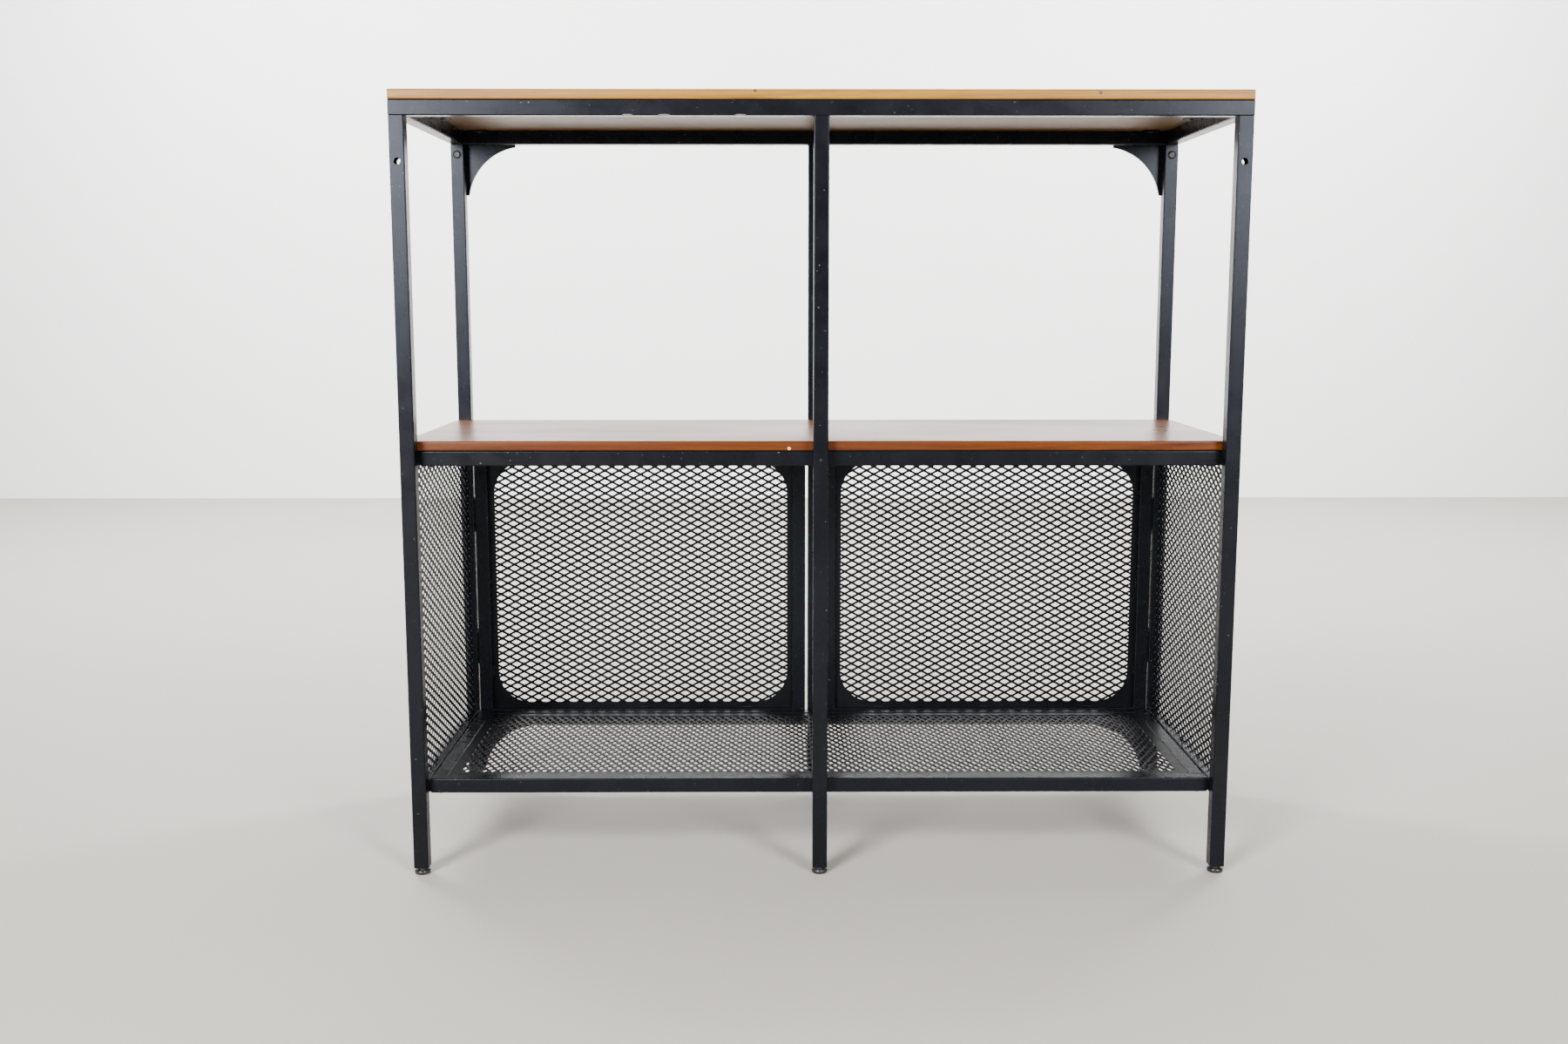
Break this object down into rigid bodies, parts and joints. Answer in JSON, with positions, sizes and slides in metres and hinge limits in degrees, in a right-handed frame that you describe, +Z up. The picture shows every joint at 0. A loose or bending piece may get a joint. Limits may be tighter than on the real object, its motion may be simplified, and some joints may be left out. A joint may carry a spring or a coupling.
{
  "type": "tv stand with doors",
  "caption": "Open steel-tube stand with wood top and shelf, expanded-metal sides and bottom shelf, hinged mesh doors and adjustable feet.",
  "frame": {"origin": "centre of the bounding box at floor level", "axes": "+X to the right seen from the open side, +Y towards the door side, +Z up"},
  "size_m": [1.0016, 0.3658, 0.944],
  "materials": {
    "powder_coated_steel": "satin black powder coat",
    "expanded_metal": "satin black powder coat",
    "top_wood": "clear satin lacquer",
    "shelf_wood": "glossy stained lacquer",
    "black_fastener": "black oxide",
    "black_plastic": "matt"
  },
  "bodies": {
    "frame": {"top_board": "top_wood", "shelf_board": "shelf_wood", "board_tabs": "powder_coated_steel", "board_tab_screws": "black_fastener", "top_rail_open": "powder_coated_steel", "top_rail_door": "powder_coated_steel", "top_rail_left": "powder_coated_steel", "top_rail_right": "powder_coated_steel", "leg_open_left": "powder_coated_steel", "leg_open_right": "powder_coated_steel", "leg_door_left": "powder_coated_steel", "leg_door_right": "powder_coated_steel", "post_open": "powder_coated_steel", "post_door": "powder_coated_steel", "post_screws": "black_fastener", "side_mid_rail_left": "powder_coated_steel", "side_mid_rail_right": "powder_coated_steel", "side_low_rail_left": "powder_coated_steel", "side_low_rail_right": "powder_coated_steel", "side_mesh_left": "expanded_metal", "side_mesh_right": "expanded_metal", "shelf_rail_open": "powder_coated_steel", "shelf_rail_door": "powder_coated_steel", "shelf_rail_left": "powder_coated_steel", "shelf_rail_right": "powder_coated_steel", "base_rail_open": "powder_coated_steel", "base_rail_door": "powder_coated_steel", "base_rail_left": "powder_coated_steel", "base_rail_right": "powder_coated_steel", "base_mesh": "expanded_metal", "rail_spigots": "powder_coated_steel", "spigot_bolts": "black_fastener", "corner_plate_top_left": "powder_coated_steel", "corner_plate_top_right": "powder_coated_steel", "corner_plate_low_left": "powder_coated_steel", "corner_plate_low_right": "powder_coated_steel", "plate_bolts": "black_fastener", "plate_nuts": "black_fastener", "hinge_leg_leaves": "powder_coated_steel", "hinge_pins": "black_fastener", "foot_inserts": "black_plastic"},
    "door_left": {"door_left_hinge_stile": "powder_coated_steel", "door_left_closing_stile": "powder_coated_steel", "door_left_top_rail": "powder_coated_steel", "door_left_bottom_rail": "powder_coated_steel", "door_left_mesh": "expanded_metal", "door_left_hinge_leaves": "powder_coated_steel"},
    "door_right": {"door_right_hinge_stile": "powder_coated_steel", "door_right_closing_stile": "powder_coated_steel", "door_right_top_rail": "powder_coated_steel", "door_right_bottom_rail": "powder_coated_steel", "door_right_mesh": "expanded_metal", "door_right_hinge_leaves": "powder_coated_steel"},
    "foot_open_left_body": {"foot_open_left": "black_plastic"},
    "foot_open_middle_body": {"foot_open_middle": "black_plastic"},
    "foot_open_right_body": {"foot_open_right": "black_plastic"},
    "foot_door_left_body": {"foot_door_left": "black_plastic"},
    "foot_door_middle_body": {"foot_door_middle": "black_plastic"},
    "foot_door_right_body": {"foot_door_right": "black_plastic"}
  },
  "joints": [
    {"name": "door_left_hinge", "type": "hinge", "parent": "frame", "child": "door_left", "pos_m": [-0.4811, 0.1801, 0.3], "axis": [0, 0, 1], "range_deg": [0, 180]},
    {"name": "door_right_hinge", "type": "hinge", "parent": "frame", "child": "door_right", "pos_m": [0.4811, 0.1801, 0.3], "axis": [0, 0, -1], "range_deg": [0, 180]},
    {"name": "foot_open_left_screw", "type": "slide", "parent": "frame", "child": "foot_open_left_body", "axis": [0, 0, -1], "range_m": [0, 0.01]},
    {"name": "foot_open_middle_screw", "type": "slide", "parent": "frame", "child": "foot_open_middle_body", "axis": [0, 0, -1], "range_m": [0, 0.01]},
    {"name": "foot_open_right_screw", "type": "slide", "parent": "frame", "child": "foot_open_right_body", "axis": [0, 0, -1], "range_m": [0, 0.01]},
    {"name": "foot_door_left_screw", "type": "slide", "parent": "frame", "child": "foot_door_left_body", "axis": [0, 0, -1], "range_m": [0, 0.01]},
    {"name": "foot_door_middle_screw", "type": "slide", "parent": "frame", "child": "foot_door_middle_body", "axis": [0, 0, -1], "range_m": [0, 0.01]},
    {"name": "foot_door_right_screw", "type": "slide", "parent": "frame", "child": "foot_door_right_body", "axis": [0, 0, -1], "range_m": [0, 0.01]}
  ]
}
